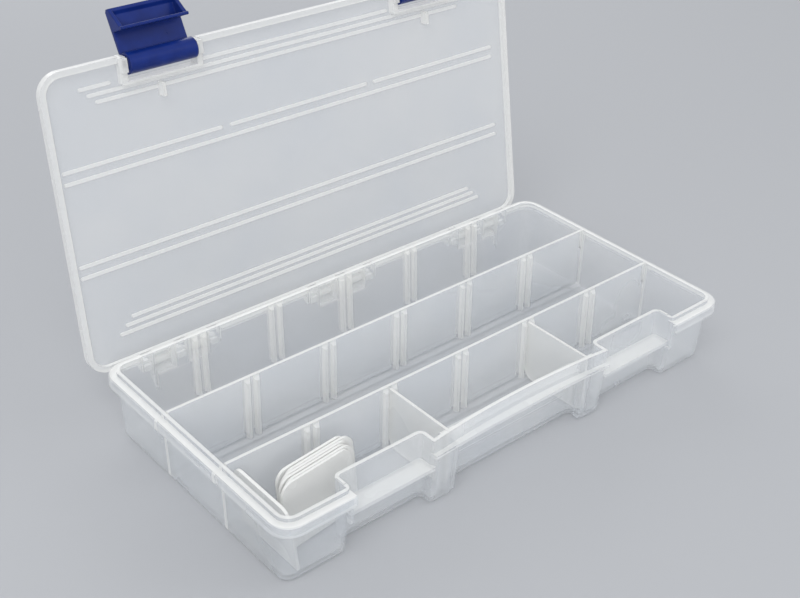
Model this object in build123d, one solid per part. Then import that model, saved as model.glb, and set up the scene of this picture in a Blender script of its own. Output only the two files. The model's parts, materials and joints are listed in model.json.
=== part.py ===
"""Tackle tray with hinged lid, two latches and loose dividers.

Sizes are in millimetres. X runs along the length, Y from front to back and Z up. While the pieces
are drawn, Y is counted from the inner face of the front wall at its top edge; save() moves them so
that the origin is in the middle of the tray's underside. The tray is stored open, as photographed.
"""
import os
from math import atan, degrees, sqrt
from build123d import *

# tray walls, which lean outwards from foot to top
WALL_TOP = 30.5
WALL = 1.5
FLOOR = 1.5
HALF_FOOT = 111.6
SIDE_LEAN = 1.2
FRONT_FOOT = 1.5
FRONT_LEAN = 3.0
BACK_FOOT = 112.5
FOOT_CORNER = 5.0
TOP_CORNER = 6.0
FOOT_ROUND = 2.2
MIDDLE_Y = 56.1
HALF_TOP = HALF_FOOT + SIDE_LEAN
FRONT_TOP = FRONT_FOOT - FRONT_LEAN
BACK_TOP = BACK_FOOT + SIDE_LEAN

# rim sheet that runs round the tray a little below the wall top, with a turned-down lip
RIM_OVER = 3.1
RIM_DROP = 1.6
RIM_SHEET = 1.4
RIM_CORNER = 9.0
RIM_CHAMFER = 0.5
LIP = 1.3
LIP_TALL = 4.2
RIM_TOP = WALL_TOP - RIM_DROP
LIP_LOW = RIM_TOP - LIP_TALL
RIM_X = HALF_TOP + RIM_OVER
RIM_FRONT = FRONT_TOP - RIM_OVER
RIM_BACK = BACK_TOP + RIM_OVER

# front of the tray: latch bays with shelves, bowed upper wall, ledge and label bay
BAY_IN = 46.5
BAY_OUT = 84.6
BAY_BACK = 7.1
BAY_CORNER = 1.6
SHELF_TOP = 19.1
SHELF_THICK = 1.6
SHELF_FRONT = -0.8
GUARD = 1.4
GUARD_FRONT = -2.2
GUARD_BACK = 2.3
GUARD_LOW = 15.6
PAD_TALL = 0.35
PAD_INSET = 0.2
PAD_FRONT = 1.8
PAD_BACK = 6.2
BOW_EDGE = -0.2
BOW_MIDDLE = 2.4
LEDGE_EDGE = -1.9
LEDGE_MIDDLE = -0.6
LABEL_HALF = 34.5
LABEL_BACK = 7.6
LABEL_LINE = 0.3
LABEL_LINE_TALL = 1.0
LABEL_LINE_INSET = 5.5
LABEL_LINE_DROPS = (14.0, 8.0)
COLUMN_CORNER = 2.6
SHELF_LOW = SHELF_TOP - SHELF_THICK

# partitions on raised strips, and the slots for dividers
ROWS = (37.0, 75.5)
PARTITION = 1.4
GROOVE = 6.0
GROOVE_DEEP = 1.2
GROOVE_COVER = 1.1
GROOVE_WALL = 0.6
PITCH = 37.1
SLOT_STEPS = (-2, -1, 0, 1, 2)
FRONT_STEPS = (-1, 1)
SLOT = 1.5
RIB_WIDE = 2.7
RIB_TIP = 1.0
RIB_SHOULDER = 1.4
RIB_OUT = 1.3
RIB_FLARE = 1.2
FLARE_TALL = 3.2
FLARE_KNEE = 0.35
KNEE_TALL = 1.1
RIB_DROP = 1.0
RIB_SLOPE = 1.0
FRONT_RIB_OUT = 1.7

# dividers
SLOT_PLAY = 0.3
DIVIDER_PLAY = 0.25
DIVIDER_TALL = 27.0
DIVIDER_CORNER = 5.0
DIVIDER_LIFT = 0.3
DIVIDER = SLOT - SLOT_PLAY

# lid, drawn closed: sheet with a turned rim, raised lines and pockets for the latches
LID_GAP = 0.6
LID_SHEET = 1.5
LID_RIM = 2.4
LID_SEAT = 0.15
LID_CORNER = 9.0
LID_CHAMFER = 0.45
LID_BACK_OVER = 1.8
LINE_WIDE = 1.4
LINE_TALL = 0.5
LINE_ROUND = 0.65
LINE_BEFORE = 2.6
LINE_AFTER = 2.0
LINE_LEFT_IN = 3.9
LINE_RIGHT_IN = 9.1
LINE_BREAKS = (-39.9, 34.3)
LINE_BREAK = 3.6
LINE_PLAY = 0.7
TRIO_LEFT_PAST = 9.4
TRIO_RIGHT_PAST = 2.4
TRIO_LINES = 3
TRIO_PITCH = 3.05
TRIO_STEP = 3.05
TRIO_FRONT = 15.4
TRIO_BACK = 18.7
POCKET_IN_PLAY = 1.8
POCKET_OUT_PLAY = 1.2
POCKET_BACK = 5.2
POCKET_WALL = 1.4
POCKET_TALL = 3.6
POCKET_CORNER = 1.0
EAR = 2.4
EAR_HALF = 2.8
EAR_LOW = 1.2
PIN_LONG = 5.6
TAB_X = 66.6
TAB_THICK = 1.3
TAB_LONG = 5.5
TAB_TALL = 3.9
TAB_GAP = 0.4
LID_LOW = WALL_TOP + LID_GAP
LID_TOP = LID_LOW + LID_SHEET
LID_RIM_LOW = RIM_TOP + LID_SEAT
LID_FRONT = RIM_FRONT
LID_BACK = RIM_BACK + LID_BACK_OVER
LINE_LEFT = LINE_LEFT_IN - RIM_X
LINE_RIGHT = RIM_X - LINE_RIGHT_IN
TRIO_LEFT = -BAY_OUT - TRIO_LEFT_PAST
TRIO_RIGHT = BAY_OUT + TRIO_RIGHT_PAST
POCKET_IN = BAY_IN + POCKET_IN_PLAY
POCKET_OUT = BAY_OUT - POCKET_OUT_PLAY

# lid hinge: arms and pins of the lid between hooked knuckles of the tray
HINGE_OUT = 4.0
HINGE_DROP = 8.4
HINGES = (-81.0, 0.0, 81.0)
HINGE_PIN = 1.5
PIN_PLAY = 0.08
KNUCKLE = 3.0
KNUCKLE_WIDE = 8.0
KNUCKLE_X = 8.5
MOUTH = 1.25
ARM = 3.5
MIDDLE_ARM = 4.0
ARM_X = 15.25
ARM_PLAY = 0.6
ARM_FRONT = 1.4
ARM_BACK = 0.9
ARM_ROUND = 2.4
HEEL = 3.8
HEEL_HALF = 1.2
PLATE_TOP_HALF = 18.6
PLATE_LOW_HALF = 12.3
PLATE_LOW = 17.9
PLATE_SIDE = 22.4
PLATE_THICK = 1.4
GUSSET_X = 92.4
GUSSET = 1.4
GUSSET_OUT = 6.0
GUSSET_LOW = 9.3
GUSSET_SIDE = 15.5
LID_OPEN = 98.4
HINGE_Y = BACK_TOP + HINGE_OUT
HINGE_Z = WALL_TOP - HINGE_DROP

# latch, drawn closed: barrel, plate, hook and stiffened finger end
LATCH_Y = -1.4
LATCH_Z = 28.7
LATCH_PIN = 1.42
LATCH_PLAY = 0.6
BARREL = 4.2
LATCH_FACE = 3.3
LATCH_PLATE = 1.5
PLATE_STEP = 0.5
PLATE_SHOULDER = 3.0
HOOK_GAP = 0.9
HOOK_REACH = 5.3
HOOK_THICK = 1.1
HOOK_BEAD = 0.7
HOOK_SLOPE = 0.5
LATCH_LONG = 21.5
LATCH_WEB = 1.5
TIP_CHAMFER = 1.0
TIP_LIP = 1.0
TIP_LIP_TALL = 1.2
TIP_LIP_SLOPE = 1.4
LATCH_OPEN = 111.0
LATCH_IN = POCKET_IN + EAR + LATCH_PLAY
LATCH_OUT = POCKET_OUT - EAR - LATCH_PLAY

# spare dividers: how far the first stands from the left wall, and where the leaning pile lies
SPARE_OFF = 5.4
SPARE_BEFORE = 17.5
SPARE_RAISE = 1.0
SPARE_LEAN = 7.0
PILE_OFF = 27.2
PILE_BEFORE = 14.8
PILE_TURN = 6.0
PILE_LEAN = 6.0
PILE_PITCH = 1.45
PILE_SHIFTS = (0.4, 2.2, 0.0, -1.4, -0.6, -2.6)

# how far joined pieces reach into each other, and how far cuts reach past what they cut
EASE = 0.2
BEYOND = 10.0

os.makedirs("parts", exist_ok=True)


def block(x0, x1, y0, y1, z0, z1):
    """Box between two corners."""
    low = (Align.MIN, Align.MIN, Align.MIN)
    return Pos(x0, y0, z0) * Box(x1 - x0, y1 - y0, z1 - z0, align=low)


def outline(x0, x1, y0, y1, r):
    """Rounded rectangle in the XY plane."""
    return Pos((x0 + x1) / 2, (y0 + y1) / 2) * RectangleRounded(x1 - x0, y1 - y0, r)


def slab(x0, x1, y0, y1, z0, z1, r):
    """Upright prism with rounded vertical edges."""
    return Pos(0, 0, z0) * extrude(outline(x0, x1, y0, y1, r), z1 - z0)


def bar(points, x0, x1):
    """Prism along X with an outline of (y, z) points."""
    face = Plane.YZ * make_face(Polyline(*points, close=True))
    return Pos(x0, 0, 0) * extrude(face, x1 - x0)


def panel(points, y0, y1):
    """Prism along Y with an outline of (x, z) points."""
    face = Plane.XZ * make_face(Polyline(*points, close=True))
    return Pos(0, y1, 0) * extrude(face, y1 - y0)


def rod(y, z, r, x0, x1):
    """Round rod along X."""
    turn = Pos(x0, y, z) * Rot(0, 90, 0)
    return turn * Cylinder(r, x1 - x0, align=(Align.CENTER, Align.CENTER, Align.MIN))


def side_face(z):
    """Outer face of a side wall at height z, from the middle."""
    return HALF_FOOT + SIDE_LEAN * z / WALL_TOP


def front_face(z):
    """Outer face of the front wall at height z."""
    return FRONT_FOOT - FRONT_LEAN * z / WALL_TOP


def back_face(z):
    """Outer face of the back wall at height z."""
    return BACK_FOOT + SIDE_LEAN * z / WALL_TOP


def shell(z, inset, r):
    """Outline of the leaning tray wall at height z, moved inwards."""
    half = side_face(z) - inset
    return Pos(0, 0, z) * outline(-half, half, front_face(z) + inset, back_face(z) - inset, r)


def both(piece):
    """A piece and its mirror image in the middle plane."""
    return [piece, piece.mirror(Plane.YZ)]


def bow_line(x, edge, middle):
    """Y of an arc that passes edge at each bay and middle at the tray's middle."""
    rise = middle - edge
    radius = (BAY_IN ** 2 + rise ** 2) / (2 * rise)
    return middle - radius + sqrt(radius ** 2 - x ** 2)


def bow(edge, middle, y, z0, z1):
    """Upright prism between a bowed face, edge at the bays and middle between them, and a flat one."""
    arc = ThreePointArc((-BAY_IN, edge), (0, middle), (BAY_IN, edge))
    face = make_face(arc + Polyline((BAY_IN, edge), (BAY_IN, y), (-BAY_IN, y), (-BAY_IN, edge)))
    return Pos(0, 0, z0) * extrude(face, z1 - z0)


def outer_form():
    """Outside of the walls, with the bays cut in and the edges of the foot rounded."""
    form = loft([shell(0, 0, FOOT_CORNER), shell(WALL_TOP, 0, TOP_CORNER)])
    far = RIM_FRONT - BEYOND
    cuts = both(slab(BAY_IN, BAY_OUT, far, BAY_BACK, -BEYOND, WALL_TOP + BEYOND, BAY_CORNER))
    cuts += [slab(-LABEL_HALF, LABEL_HALF, far, LABEL_BACK, -BEYOND, LIP_LOW - WALL, BAY_CORNER)]
    form = form - cuts
    upright = [e for e in form.edges() if abs(e.tangent_at(0.5).Z) > 0.9 and e.center().Y < FRONT_FOOT + EASE
               and abs(e.center().X) < BAY_OUT + EASE]
    form = fillet(upright, COLUMN_CORNER)
    form = fillet(form.faces().sort_by(Axis.Z)[0].edges(), FOOT_ROUND)
    return form - bow(BOW_EDGE, BOW_MIDDLE, far, LIP_LOW, WALL_TOP + BEYOND)


def inner_form():
    """Space inside the walls, behind the bays and the bowed upper wall."""
    form = loft([shell(FLOOR, WALL, FOOT_CORNER - WALL), shell(WALL_TOP + EASE, WALL, TOP_CORNER - WALL)])
    far = RIM_FRONT - BEYOND
    over = WALL_TOP + BEYOND
    corner = BAY_CORNER + WALL
    cuts = both(slab(BAY_IN - WALL, BAY_OUT + WALL, far, BAY_BACK + WALL, -BEYOND, over, corner))
    cuts += [slab(-LABEL_HALF - WALL, LABEL_HALF + WALL, far, LABEL_BACK + WALL, -BEYOND, LIP_LOW, corner)]
    form = form - cuts
    form = fillet(form.faces().sort_by(Axis.Z)[0].edges(), FOOT_ROUND - WALL)
    return form - bow(BOW_EDGE + WALL, BOW_MIDDLE + WALL, far, LIP_LOW - WALL, over)


def rim():
    """Rim sheet with its lip, left open in front of the bays, and the guards beside the bays."""
    ring = slab(-RIM_X, RIM_X, RIM_FRONT, RIM_BACK, LIP_LOW, RIM_TOP, RIM_CORNER)
    ring = chamfer(ring.faces().sort_by(Axis.Z)[-1].edges(), RIM_CHAMFER)
    ring = ring - slab(-RIM_X + LIP, RIM_X - LIP, RIM_FRONT + LIP, RIM_BACK - LIP, LIP_LOW - BEYOND,
                       RIM_TOP - RIM_SHEET, RIM_CORNER - LIP)
    ring = ring - block(-BAY_OUT, BAY_OUT, RIM_FRONT - BEYOND, BAY_BACK, LIP_LOW - BEYOND, RIM_TOP + BEYOND)
    guard = block(BAY_OUT, BAY_OUT + GUARD, GUARD_FRONT, GUARD_BACK, GUARD_LOW, RIM_TOP - EASE)
    return [ring] + both(guard)


def rib(root):
    """Slot rib on a face at y = 0 that looks to -Y: it tapers outwards and flares at its foot."""
    far = -RIB_OUT - RIB_FLARE
    top = WALL_TOP - RIB_DROP
    side = bar([(far, FLOOR - EASE), (far, FLOOR), (-RIB_OUT - FLARE_KNEE, FLOOR + KNEE_TALL),
                (-RIB_OUT, FLOOR + FLARE_TALL), (-RIB_OUT, top - RIB_SLOPE), (0, top), (root, top),
                (root, FLOOR - EASE)], -RIB_WIDE / 2, RIB_WIDE / 2)
    base = RIB_WIDE / 2
    shoulder = RIB_SHOULDER / 2
    tip = RIB_TIP / 2
    plan = Polyline((-base, root), (base, root), (base, 0), (shoulder, -RIB_OUT), (tip, far), (-tip, far),
                    (-shoulder, -RIB_OUT), (-base, 0), close=True)
    return side & extrude(make_face(plan), WALL_TOP)


def slot_ribs():
    """A pair of ribs at each slot: on both faces of each partition, on the back wall and at two in front."""
    plain = rib(PARTITION / 2)
    lean = degrees(atan(SIDE_LEAN / WALL_TOP))
    on_back = Pos(0, back_face(FLOOR) - WALL, 0) * Rot(-lean, 0, 0) * rib(WALL / 2)
    ribs = []
    for step in SLOT_STEPS:
        for side in (-1, 1):
            x = step * PITCH + side * (SLOT + RIB_WIDE) / 2
            for y in ROWS:
                ribs.append(Pos(x, y - PARTITION / 2, 0) * plain)
                ribs.append(Pos(x, y + PARTITION / 2, 0) * Rot(0, 0, 180) * plain)
            ribs.append(Pos(x, 0, 0) * on_back)
            if step in FRONT_STEPS:
                low = front_face(FLOOR) + WALL / 2
                ledge = front_face(LIP_LOW - WALL) + WALL / 2
                upper = bow_line(abs(x), BOW_EDGE, BOW_MIDDLE) + WALL / 2
                reach = front_face(FLOOR) + WALL + FRONT_RIB_OUT
                top = WALL_TOP - RIB_DROP
                ends = [(low, FLOOR - EASE), (reach, FLOOR - EASE), (reach, top - RIB_SLOPE),
                        (reach - RIB_SLOPE, top), (upper, top), (upper, LIP_LOW), (ledge, LIP_LOW - WALL)]
                ribs.append(bar(ends, x - RIB_WIDE / 2, x + RIB_WIDE / 2))
    return ribs


def hinge_seats(body):
    """Hooked knuckles on trapezoid plates at the back, with mouths that the lid's pins snap into."""
    start = back_face(HINGE_Z) - WALL / 2
    wall = back_face(GUSSET_LOW) - WALL / 2
    side = [(wall, RIM_TOP - RIM_SHEET), (wall + GUSSET_OUT, RIM_TOP - RIM_SHEET), (wall + GUSSET_OUT, GUSSET_SIDE),
            (wall, GUSSET_LOW)]
    body = body + both(bar(side, GUSSET_X, GUSSET_X + GUSSET))
    for x in HINGES:
        plate = panel([(x - PLATE_TOP_HALF, RIM_TOP - EASE), (x - PLATE_TOP_HALF, PLATE_SIDE),
                       (x - PLATE_LOW_HALF, PLATE_LOW), (x + PLATE_LOW_HALF, PLATE_LOW),
                       (x + PLATE_TOP_HALF, PLATE_SIDE), (x + PLATE_TOP_HALF, RIM_TOP - EASE)],
                      start, start + WALL / 2 + PLATE_THICK)
        body = body + plate
        for side in (-1, 1):
            middle = x + side * KNUCKLE_X
            x0 = middle - KNUCKLE_WIDE / 2
            x1 = middle + KNUCKLE_WIDE / 2
            knuckle = block(x0, x1, start, HINGE_Y, HINGE_Z - KNUCKLE, RIM_TOP - RIM_SHEET / 2)
            body = body + [knuckle, rod(HINGE_Y, HINGE_Z, KNUCKLE, x0, x1)]
        for middle, wide in ((x - ARM_X, ARM), (x, MIDDLE_ARM), (x + ARM_X, ARM)):
            half = wide / 2 + ARM_PLAY
            front = back_face(RIM_TOP)
            body = body - block(middle - half, middle + half, front, RIM_BACK + BEYOND, PLATE_LOW - BEYOND,
                                WALL_TOP + BEYOND)
        reach = ARM_X + ARM / 2 + ARM_PLAY
        body = body - rod(HINGE_Y, HINGE_Z, HINGE_PIN + PIN_PLAY, x - reach, x + reach)
        body = body - block(x - reach, x + reach, HINGE_Y, HINGE_Y + BEYOND, HINGE_Z - MOUTH, HINGE_Z + MOUTH)
    return body


def tray():
    """The tray: one moulding with its rim, bays, partitions, slots and hinge knuckles."""
    shelf = block(BAY_IN - WALL / 2, BAY_OUT + WALL / 2, SHELF_FRONT, BAY_BACK + WALL / 2, SHELF_LOW, SHELF_TOP)
    ledge = bow(LEDGE_EDGE, LEDGE_MIDDLE, BOW_MIDDLE + WALL, LIP_LOW - WALL, LIP_LOW)
    body = outer_form() + rim() + both(shelf) + ledge - inner_form()

    # partitions on raised strips, with a groove under each
    half = GROOVE / 2
    parts = []
    for y in ROWS:
        x = side_face(FLOOR) - WALL / 2
        parts.append(block(-x, x, y - PARTITION / 2, y + PARTITION / 2, FLOOR - EASE, WALL_TOP))
        wide = half + GROOVE_WALL
        parts.append(block(-x, x, y - wide, y + wide, FLOOR - EASE, GROOVE_DEEP + GROOVE_COVER))
    body = body + parts
    for y in ROWS:
        body = body - block(-RIM_X, RIM_X, y - half, y + half, -BEYOND, GROOVE_DEEP)
    body = body + slot_ribs()
    body = hinge_seats(body)

    # low pads on the outer side walls of the bays, and two raised lines on the label bay
    pad = block(BAY_OUT + PAD_INSET, BAY_OUT + WALL - PAD_INSET, PAD_FRONT, PAD_BACK, WALL_TOP - EASE,
                WALL_TOP + PAD_TALL)
    body = body + both(pad)
    x = LABEL_HALF - LABEL_LINE_INSET
    for drop in LABEL_LINE_DROPS:
        z = LIP_LOW - drop
        body = body + block(-x, x, LABEL_BACK - LABEL_LINE, LABEL_BACK + EASE, z, z + LABEL_LINE_TALL)
    return body


def lid_lines():
    """Raised lines on the lid's inner face, as (y, left end, right end)."""
    lines = []
    left = LINE_LEFT
    for middle in LINE_BREAKS:
        lines.append((ROWS[0] - LINE_BEFORE, left, middle - LINE_BREAK / 2))
        left = middle + LINE_BREAK / 2
    lines.append((ROWS[0] - LINE_BEFORE, left, LINE_RIGHT))
    for y in (ROWS[0] + LINE_AFTER, ROWS[1] - LINE_BEFORE, ROWS[1] + LINE_AFTER):
        lines.append((y, LINE_LEFT, LINE_RIGHT))
    for step in range(TRIO_LINES):
        left = TRIO_LEFT - step * TRIO_STEP
        right = TRIO_RIGHT + step * TRIO_STEP
        lines.append((LID_BACK - TRIO_BACK + step * TRIO_PITCH, left, right))
        if step < TRIO_LINES - 1:
            lines.append((LID_FRONT + TRIO_FRONT - step * TRIO_PITCH, left, right))
        else:
            y = LID_FRONT + TRIO_FRONT - step * TRIO_PITCH
            inner = POCKET_IN - POCKET_WALL
            outer = BAY_OUT + WALL + LINE_PLAY
            lines += [(y, left, -outer), (y, -inner, inner), (y, outer, right)]
    return lines


def lid():
    """The lid, drawn closed: sheet, rim, raised lines, pockets, ears with pins, tabs and hinge arms."""
    body = slab(-RIM_X, RIM_X, LID_FRONT, LID_BACK, LID_RIM_LOW, LID_TOP, LID_CORNER)
    body = chamfer(body.faces().sort_by(Axis.Z)[-1].edges(), LID_CHAMFER)
    body = body - slab(-RIM_X + LID_RIM, RIM_X - LID_RIM, LID_FRONT + LID_RIM, LID_BACK - LID_RIM,
                       LID_RIM_LOW - BEYOND, LID_LOW, LID_CORNER - LID_RIM)
    for y, x0, x1 in lid_lines():
        body = body + slab(x0, x1, y - LINE_WIDE / 2, y + LINE_WIDE / 2, LID_LOW - LINE_TALL, LID_LOW + EASE,
                           LINE_ROUND)

    # latch pockets with a wall round them, ears at both ends and a pin stub on each ear
    far = LID_FRONT - BEYOND
    body = body - both(block(POCKET_IN, POCKET_OUT, far, POCKET_BACK, LID_LOW - BEYOND, LID_TOP + BEYOND))
    wall = slab(POCKET_IN, POCKET_OUT, LID_FRONT, POCKET_BACK + POCKET_WALL, LID_LOW - POCKET_TALL, LID_TOP,
                POCKET_CORNER)
    wall = wall - block(POCKET_IN + EAR, POCKET_OUT - EAR, far, POCKET_BACK, LID_LOW - BEYOND, LID_TOP + BEYOND)
    body = body + both(wall)
    low = LATCH_Z - LATCH_PIN - EAR_LOW
    for inner, way in ((POCKET_IN, 1), (POCKET_OUT, -1)):
        face = inner + way * EAR
        x0 = min(inner, face)
        ear = block(x0, x0 + EAR, LATCH_Y - EAR_HALF, LATCH_Y + EAR_HALF, low, LID_LOW)
        end = face + way * PIN_LONG
        pin = rod(LATCH_Y, LATCH_Z, LATCH_PIN, min(face - way * EASE, end), max(face - way * EASE, end))
        body = body + both(ear) + both(pin)
    back = BAY_BACK + WALL + TAB_GAP
    tab = block(TAB_X - TAB_THICK / 2, TAB_X + TAB_THICK / 2, back, back + TAB_LONG, LID_LOW - TAB_TALL, LID_LOW + EASE)
    body = body + both(tab)

    # hinge arms with the pin between them; the heels stop the open lid on the hinge plates
    for x in HINGES:
        for middle, wide in ((x - ARM_X, ARM), (x, MIDDLE_ARM), (x + ARM_X, ARM)):
            x0 = middle - wide / 2
            x1 = middle + wide / 2
            arm = block(x0, x1, HINGE_Y - ARM_FRONT, HINGE_Y + ARM_BACK, HINGE_Z, LID_LOW + EASE)
            heel = block(x0, x1, HINGE_Y - HEEL_HALF, HINGE_Y + HEEL_HALF, HINGE_Z - HEEL, HINGE_Z)
            body = body + [arm, rod(HINGE_Y, HINGE_Z, ARM_ROUND, x0, x1), heel]
        body = body + rod(HINGE_Y, HINGE_Z, HINGE_PIN, x - ARM_X, x + ARM_X)
    return body


def latch():
    """The right latch, drawn closed: barrel, plate, hook flange and a finger end with side webs."""
    outer = LATCH_Y - LATCH_FACE
    inner = outer + LATCH_PLATE
    tip = LATCH_Z - LATCH_LONG
    bead_y = LATCH_Y + HOOK_REACH - HOOK_BEAD
    bead_z = SHELF_LOW - HOOK_GAP - HOOK_BEAD
    half = HOOK_THICK / 2
    body = bar([(outer + PLATE_STEP, LATCH_Z), (outer, LATCH_Z - PLATE_SHOULDER), (outer, tip + TIP_CHAMFER),
                (outer + TIP_CHAMFER, tip), (inner + TIP_LIP, tip), (inner + TIP_LIP, tip + TIP_LIP_TALL),
                (inner, tip + TIP_LIP_TALL + TIP_LIP_SLOPE), (inner, LATCH_Z)], LATCH_IN, LATCH_OUT)
    flange = bar([(outer + EASE, bead_z - HOOK_SLOPE + half), (bead_y, bead_z + half), (bead_y, bead_z - half),
                  (outer + EASE, bead_z - HOOK_SLOPE - half)], LATCH_IN, LATCH_OUT)
    web = [(inner - EASE, bead_z - HOOK_SLOPE), (bead_y, bead_z), (inner + TIP_LIP, tip + EASE),
           (inner - EASE, tip + EASE)]
    body = body + [flange, rod(bead_y, bead_z, HOOK_BEAD, LATCH_IN, LATCH_OUT)]
    body = body + rod(LATCH_Y, LATCH_Z, BARREL, LATCH_IN, LATCH_OUT)
    body = body + [bar(web, LATCH_IN, LATCH_IN + LATCH_WEB), bar(web, LATCH_OUT - LATCH_WEB, LATCH_OUT)]
    return body - rod(LATCH_Y, LATCH_Z, LATCH_PIN + PIN_PLAY, LATCH_IN - BEYOND, LATCH_OUT + BEYOND)


def front_at_divider():
    """Y of the front's outer face where the fitted dividers stand, which may be the label bay's back."""
    if PITCH - DIVIDER / 2 - DIVIDER_PLAY < LABEL_HALF + WALL:
        return LABEL_BACK
    return max(front_face(FLOOR + DIVIDER_CORNER), bow_line(PITCH, BOW_EDGE, BOW_MIDDLE))


DIVIDER_BACK = ROWS[0] - PARTITION / 2 - DIVIDER_PLAY
DIVIDER_FRONT = DIVIDER_PLAY + WALL + front_at_divider()
DIVIDER_LONG = DIVIDER_BACK - DIVIDER_FRONT


def divider():
    """One divider, standing in the YZ plane with its rounded corners down."""
    face = Plane.YZ * Pos(0, DIVIDER_TALL / 2) * Rectangle(DIVIDER_LONG, DIVIDER_TALL)
    body = extrude(face, DIVIDER / 2, both=True)
    low = body.edges().filter_by(Axis.X).group_by(Axis.Z)[0]
    return fillet(low, DIVIDER_CORNER)


def turned(piece, y, z, angle):
    """A piece turned about an axis along X."""
    return Pos(0, y, z) * Rot(angle, 0, 0) * Pos(0, -y, -z) * piece


def save(piece, name):
    """Writes one node in the part's frame."""
    export_step(Pos(0, -MIDDLE_Y, 0) * piece, "parts/" + name + ".step")


save(tray(), "tray")
save(turned(lid(), HINGE_Y, HINGE_Z, -LID_OPEN), "lid")

# latches swung open on the open lid
right = turned(turned(latch(), LATCH_Y, LATCH_Z, -LATCH_OPEN), HINGE_Y, HINGE_Z, -LID_OPEN)
save(right, "latch_right")
save(right.mirror(Plane.YZ), "latch_left")

# two dividers in the slots of the front row
plain = divider()
seat = GROOVE_DEEP + GROOVE_COVER + DIVIDER_LIFT
for sign, name in ((-1, "divider_left"), (1, "divider_right")):
    save(Pos(sign * PITCH, (DIVIDER_FRONT + DIVIDER_BACK) / 2, seat) * plain, name)

# spare dividers, upside down: one against the left wall and a leaning pile beside it
left_wall = -side_face(FLOOR) + WALL
spare = Pos(0, 0, DIVIDER_TALL) * Rot(180, 0, 0) * plain
stand = Pos(left_wall + SPARE_OFF, ROWS[0] - SPARE_BEFORE, FLOOR + SPARE_RAISE)
save(stand * Rot(0, -SPARE_LEAN, 0) * spare, "spare_1")
for number, shift in enumerate(PILE_SHIFTS):
    y = ROWS[0] - PILE_BEFORE - number * PILE_PITCH
    place = Pos(left_wall + PILE_OFF + shift, y, FLOOR + DIVIDER_LIFT)
    lean = place * Rot(0, 0, PILE_TURN) * Rot(-PILE_LEAN, 0, 0) * Rot(0, 0, 90)
    save(lean * spare, "spare_" + str(number + 2))
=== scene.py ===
import json
import math
import bpy
from mathutils import Matrix, Vector

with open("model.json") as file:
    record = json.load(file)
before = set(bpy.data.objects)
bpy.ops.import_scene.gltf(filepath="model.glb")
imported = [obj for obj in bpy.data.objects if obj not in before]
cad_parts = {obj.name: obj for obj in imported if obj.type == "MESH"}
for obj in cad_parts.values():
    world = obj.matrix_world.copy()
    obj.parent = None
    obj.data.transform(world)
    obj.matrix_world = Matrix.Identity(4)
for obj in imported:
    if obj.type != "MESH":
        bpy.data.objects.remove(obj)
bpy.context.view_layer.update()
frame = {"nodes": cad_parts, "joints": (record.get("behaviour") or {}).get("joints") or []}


# Tray. One moulding of natural, milky polypropylene: walls and partitions about 1.5 mm thick, which let
# what lies behind show through. At a wall's top edge or at a rib the plastic is deep, so it looks whiter
# and closer there than on the faces.
class Value:
    """A number in a material. Sums, differences and products with it add the Math nodes they need."""

    def __init__(self, finish, socket):
        self.finish = finish
        self.socket = socket

    def maths(self, operation, first, second):
        return self.finish.node("ShaderNodeMath", {"operation": operation}, {0: first, 1: second})

    def __add__(self, other):
        return self.maths("ADD", self, other)

    def __radd__(self, other):
        return self.maths("ADD", other, self)

    def __sub__(self, other):
        return self.maths("SUBTRACT", self, other)

    def __rsub__(self, other):
        return self.maths("SUBTRACT", other, self)

    def __mul__(self, other):
        return self.maths("MULTIPLY", self, other)

    def __rmul__(self, other):
        return self.maths("MULTIPLY", other, self)

    def size(self):
        return self.finish.node("ShaderNodeMath", {"operation": "ABSOLUTE"}, {0: self})

    def larger(self, other):
        return self.maths("MAXIMUM", self, other)

    def smaller(self, other):
        return self.maths("MINIMUM", self, other)

    def from_nearest(self, pitch):
        """How far the value is from the nearest multiple of pitch: a triangle wave."""
        return self.maths("PINGPONG", self, pitch / 2)


class Finish:
    """A material. Its nodes are added by type, with their settings first and then their sockets."""

    def __init__(self, name):
        self.material = bpy.data.materials.new(name)
        self.material.use_nodes = True
        self.tree = self.material.node_tree
        self.shader = self.tree.nodes["Principled BSDF"]

    def put(self, socket, value):
        if isinstance(value, Value):
            self.tree.links.new(value.socket, socket)
        else:
            socket.default_value = value

    def node(self, kind, settings=None, sockets=None, output=0):
        made = self.tree.nodes.new(kind)
        for key, value in (settings or {}).items():
            setattr(made, key, value)
        for key, value in (sockets or {}).items():
            self.put(made.inputs[key], value)
        return Value(self, made.outputs[output])

    def step(self, value, low, high):
        """0 below low, 1 above high and a smooth step between them."""
        return self.node("ShaderNodeMapRange", {"interpolation_type": "SMOOTHSTEP"},
                         {"Value": value, "From Min": low, "From Max": high})

    def along(self, coordinate, direction):
        """How far a point, or a normal, reaches in a direction."""
        return self.node("ShaderNodeVectorMath", {"operation": "DOT_PRODUCT"},
                         {0: coordinate, 1: direction}, "Value")

    def noise(self, place, scale, detail=2.0):
        return self.node("ShaderNodeTexNoise", {}, {"Vector": place, "Scale": scale, "Detail": detail})

    def finish(self, sockets):
        for key, value in sockets.items():
            self.put(self.shader.inputs[key], value)
        return self.material


SLANT_HIDES = 0.24
SOFT_CORNER = 0.0004
CLOUDS_PER_METRE = 30.0


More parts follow.
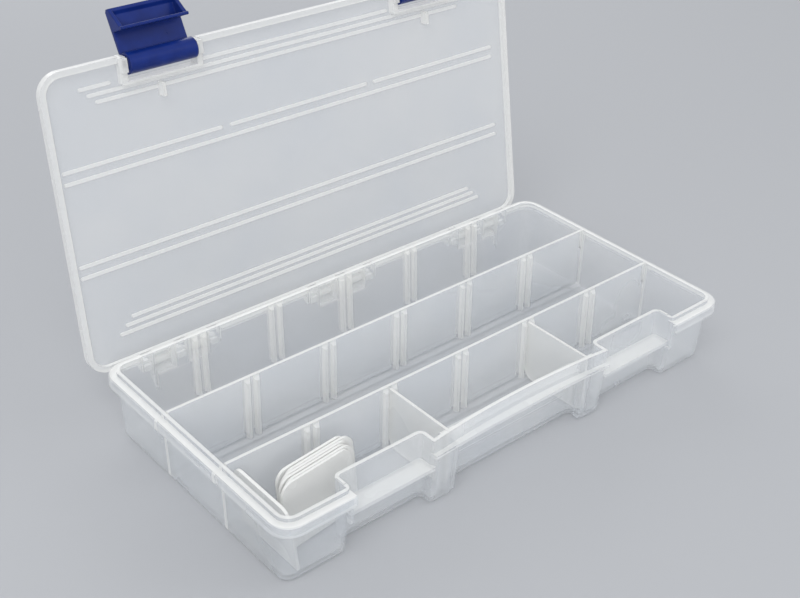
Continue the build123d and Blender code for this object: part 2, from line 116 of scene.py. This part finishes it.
def milky_plastic(name, clear, deep, thick_edge):
    """Natural polypropylene. Each face hides the share clear of what lies behind it, and a face that the
    mask thick_edge(finish, place, normal) picks out hides the share deep. The deeper the plastic, the
    whiter it is, and slow noise makes the white a little uneven. A face seen at a slant hides more."""
    made = Finish(name)
    place = made.node("ShaderNodeTexCoord", output="Object")
    normal = made.node("ShaderNodeTexCoord", output="Normal")
    slant = made.node("ShaderNodeLayerWeight", {}, {"Blend": 0.35}, "Facing")
    cloud = made.noise(place, CLOUDS_PER_METRE)
    edge = thick_edge(made, place, normal)
    depth = clear + edge * (deep - clear)
    hides = depth + slant * SLANT_HIDES
    tint = made.node("ShaderNodeMix", {"data_type": "RGBA"},
                     {"Factor": made.step(depth + (cloud - 0.5) * 0.25, 0.02, 0.44),
                      6: (0.70, 0.74, 0.79, 1.0), 7: (0.90, 0.90, 0.88, 1.0)}, 2)
    soft_edge = made.node("ShaderNodeBevel", {"samples": 4}, {"Radius": SOFT_CORNER})
    material = made.finish({"Base Color": tint, "Alpha": hides, "Normal": soft_edge,
                            "Roughness": 0.22 + cloud * 0.12})
    material.surface_render_method = "BLENDED"
    return material


# Places where the tray's plastic is deep, in metres from the middle of its underside.
SLOT_PITCH = 0.0371
RIB_START = 0.0007
RIB_END = 0.0034
PARTITION_ROWS = (-0.0191, 0.0194)
RIB_REACH = 0.0033
BACK_RIBS = 0.0520
LAST_SLOT = 0.090
FLOOR_TOP = 0.0024
SHELF_LOW = 0.0090
LEDGE_TOP = 0.0250
BACK_OUTSIDE = 0.0584
PARTITION_HALF = 0.0007
SIDE_INSIDE = 0.1105
SOFT = 0.0004


def tray_thick(made, place, normal):
    """Wall tops and the rim, the hinge seats behind the back wall, the side walls where the partitions join
    them, and about half as much the ribs and the latch shelves."""
    x = made.along(place, (1, 0, 0))
    y = made.along(place, (0, 1, 0))
    z = made.along(place, (0, 0, 1))
    from_row = (y - PARTITION_ROWS[0]).size().smaller((y - PARTITION_ROWS[1]).size())
    from_slot = x.from_nearest(SLOT_PITCH)

    above_shelf = made.step(z, SHELF_LOW, SHELF_LOW + 0.001)
    above_ledge = made.step(z, LEDGE_TOP, LEDGE_TOP + 0.0005)
    top = made.step(made.along(normal, (0, 0, 1)), 0.6, 0.95) * (above_shelf * 0.4 + above_ledge * 0.6)

    past_start = made.step(from_slot, RIB_START - 0.0002, RIB_START)
    before_end = 1 - made.step(from_slot, RIB_END, RIB_END + 0.0002)
    on_back = made.step(y, BACK_RIBS, BACK_RIBS + SOFT)
    on_partition = 1 - made.step(from_row, RIB_REACH, RIB_REACH + SOFT)
    among_slots = 1 - made.step(x.size(), LAST_SLOT, LAST_SLOT + 0.001)
    above_floor = made.step(z, FLOOR_TOP, FLOOR_TOP + 0.0005)
    ribs = past_start * before_end * (on_back + on_partition) * (among_slots * above_floor)

    in_partition = 1 - made.step(from_row, PARTITION_HALF, PARTITION_HALF + SOFT)
    joined = in_partition * made.step(x.size(), SIDE_INSIDE, SIDE_INSIDE + SOFT)
    seats = made.step(y, BACK_OUTSIDE - 0.0002, BACK_OUTSIDE)
    return top.larger(ribs * 0.6).larger(seats * 0.8).larger(joined)


tray_plastic = milky_plastic("tray_milky_plastic", 0.20, 0.54, tray_thick)
tray = frame["nodes"]["tray"]
tray.data.materials.clear()
tray.data.materials.append(tray_plastic)

# Lid. A second moulding of the same plastic: a thin sheet with a turned rim, fine raised lines on its
# inner face and two pockets for the latches. It leans open a little past upright on its hinge heels.
lid_hinge = [joint for joint in frame["joints"] if joint["name"] == "lid_hinge"][0]
lid_open = math.radians(lid_hinge["range_deg"][1])
outward = Vector((0.0, math.sin(lid_open), math.cos(lid_open)))
SHEET_FROM_HINGE = 0.0090
LINE_TALL = 0.0005
inner_face = Vector(lid_hinge["pos_m"]).dot(outward) + SHEET_FROM_HINGE


def lid_thick(made, place, normal):
    """The lines, faces across the sheet, such as its edges and the sides of the lines, and half as much
    what stands up more than the lines do, such as the turned rim, the pockets and the hinge arms."""
    height = inner_face - made.along(place, outward)
    raised = made.step(height, 0.0001, 0.0004)
    above_lines = made.step(height, LINE_TALL + 0.0001, LINE_TALL + 0.0005)
    line = raised * 0.75 * (1 - above_lines)
    across = 1 - made.step(made.along(normal, outward).size(), 0.35, 0.75)
    return line.larger(above_lines * 0.50).larger(across)


lid_plastic = milky_plastic("lid_milky_plastic", 0.22, 0.66, lid_thick)
lid = frame["nodes"]["lid"]
lid.data.materials.clear()
lid.data.materials.append(lid_plastic)


# Dividers. Thin loose plates with rounded lower corners, of the same plastic, square at the edges. Two
# stand in the slots of the front row, and seven spares lie loose at its left end.
def divider_edges(made, place, normal):
    """The narrow faces round a plate, which look away from the tray's length."""
    return 1 - made.step(made.along(normal, (1, 0, 0)).size(), 0.35, 0.75)


divider_plastic = milky_plastic("divider_milky_plastic", 0.34, 0.62, divider_edges)
for side in ("left", "right"):
    node = frame["nodes"]["divider_" + side]
    node.data.materials.clear()
    node.data.materials.append(divider_plastic)


def spare_edges(made, place, normal):
    """The upper narrow faces of the leaning plates."""
    return made.step(made.along(normal, (0, 0, 1)), 0.5, 0.9)


spare_plastic = milky_plastic("spare_milky_plastic", 0.54, 0.80, spare_edges)
for number in range(1, 8):
    node = frame["nodes"]["spare_" + str(number)]
    node.data.materials.clear()
    node.data.materials.append(spare_plastic)


# Latches. Deep blue, opaque and glossy. Each is one moulding with the barrel that turns on the lid's two
# pins, a hook below it for the tray's shelf, and a stiffened finger end.
def blue_plastic():
    """Opaque polypropylene with a faint unevenness in its colour and gloss, and a fine grain."""
    made = Finish("latch_blue_plastic")
    place = made.node("ShaderNodeTexCoord", output="Object")
    cloud = made.noise(place, 160.0, 3.0)
    grain = made.noise(place, 900.0, 2.0)
    colour = made.node("ShaderNodeMix", {"data_type": "RGBA"},
                       {"Factor": cloud, 6: (0.003, 0.012, 0.100, 1.0), 7: (0.006, 0.028, 0.220, 1.0)}, 2)
    soft_edge = made.node("ShaderNodeBevel", {"samples": 4}, {"Radius": 0.0005})
    bump = made.node("ShaderNodeBump", {}, {"Height": grain, "Strength": 0.08, "Distance": 0.0002,
                                            "Normal": soft_edge})
    return made.finish({"Base Color": colour, "Roughness": 0.24 + cloud * 0.14, "Normal": bump,
                        "Specular IOR Level": 0.30})


latch_plastic = blue_plastic()
for side in ("left", "right"):
    node = frame["nodes"]["latch_" + side]
    node.data.materials.clear()
    node.data.materials.append(latch_plastic)

# Table. A plain pale sheet, wide enough to fill the picture, just below the tray's foot.
HALF_FLOOR = 4.0
FLOOR_LEVEL = -0.0002
floor_mesh = bpy.data.meshes.new("floor")
corners = [(-1, -1), (1, -1), (1, 1), (-1, 1)]
points = [(x * HALF_FLOOR, y * HALF_FLOOR, FLOOR_LEVEL) for x, y in corners]
floor_mesh.from_pydata(points, [], [(0, 1, 2, 3)])
floor = bpy.data.objects.new("floor", floor_mesh)
bpy.context.scene.collection.objects.link(floor)
paper = Finish("table_paper")
floor_mesh.materials.append(paper.finish({"Base Color": (0.46, 0.47, 0.49, 1.0), "Roughness": 0.95,
                                          "Specular IOR Level": 0.1}))


# Lamps. Wide soft boxes on all sides, one of them low in front for the upright walls, and an even sky, at
# the level at which a colour shows about as it is written.
def soft_box(name, place, aim, width, height, watts):
    data = bpy.data.lights.new(name, "AREA")
    data.shape = "RECTANGLE"
    data.size = width
    data.size_y = height
    data.energy = watts
    lamp = bpy.data.objects.new(name, data)
    bpy.context.scene.collection.objects.link(lamp)
    lamp.location = place
    lamp.rotation_euler = (Vector(aim) - Vector(place)).to_track_quat("-Z", "Y").to_euler()


soft_box("key_box", (-0.55, -0.35, 0.95), (0, 0, 0.03), 0.6, 0.6, 4.4)
soft_box("fill_box", (0.9, -0.5, 0.7), (0, 0, 0.03), 0.8, 0.5, 2.0)
soft_box("front_box", (-0.95, -1.65, 0.65), (0, 0, 0.02), 1.2, 0.6, 11.0)
soft_box("back_box", (0.35, 0.95, 0.60), (0, 0.05, 0.06), 1.0, 0.5, 3.4)
sky = bpy.data.worlds.new("sky")
bpy.context.scene.world = sky
sky.use_nodes = True
sky.node_tree.nodes["Background"].inputs["Color"].default_value = (0.95, 0.97, 1.0, 1.0)
sky.node_tree.nodes["Background"].inputs["Strength"].default_value = 0.62

# Camera. It stands at the front left corner, above the tray, with a shift that keeps the framing.
PICTURE_WIDE = 800
PICTURE_TALL = 598
FOCUS = 1334.46
CENTRE = (460.0, 200.0)
CAMERA_PLACE = (-0.30500, -0.34098, 0.33166)
right = Vector((0.74260667, -0.66874601, 0.03625058))
up = Vector((0.28799555, 0.36773393, 0.88421170))
back = Vector((-0.60464361, -0.64618150, 0.46567754))
camera_data = bpy.data.cameras.new("camera")
camera_data.sensor_width = 36.0
camera_data.lens = FOCUS / PICTURE_WIDE * camera_data.sensor_width
camera_data.shift_x = 0.5 - CENTRE[0] / PICTURE_WIDE
camera_data.shift_y = (CENTRE[1] - PICTURE_TALL / 2) / PICTURE_WIDE
camera_data.clip_start = 0.01
camera = bpy.data.objects.new("camera", camera_data)
bpy.context.scene.collection.objects.link(camera)
turn = Matrix((right, up, back)).transposed().to_4x4()
camera.matrix_world = Matrix.Translation(CAMERA_PLACE) @ turn
bpy.context.scene.camera = camera
bpy.context.scene.view_settings.view_transform = "Standard"
bpy.context.scene.cycles.transparent_max_bounces = 40
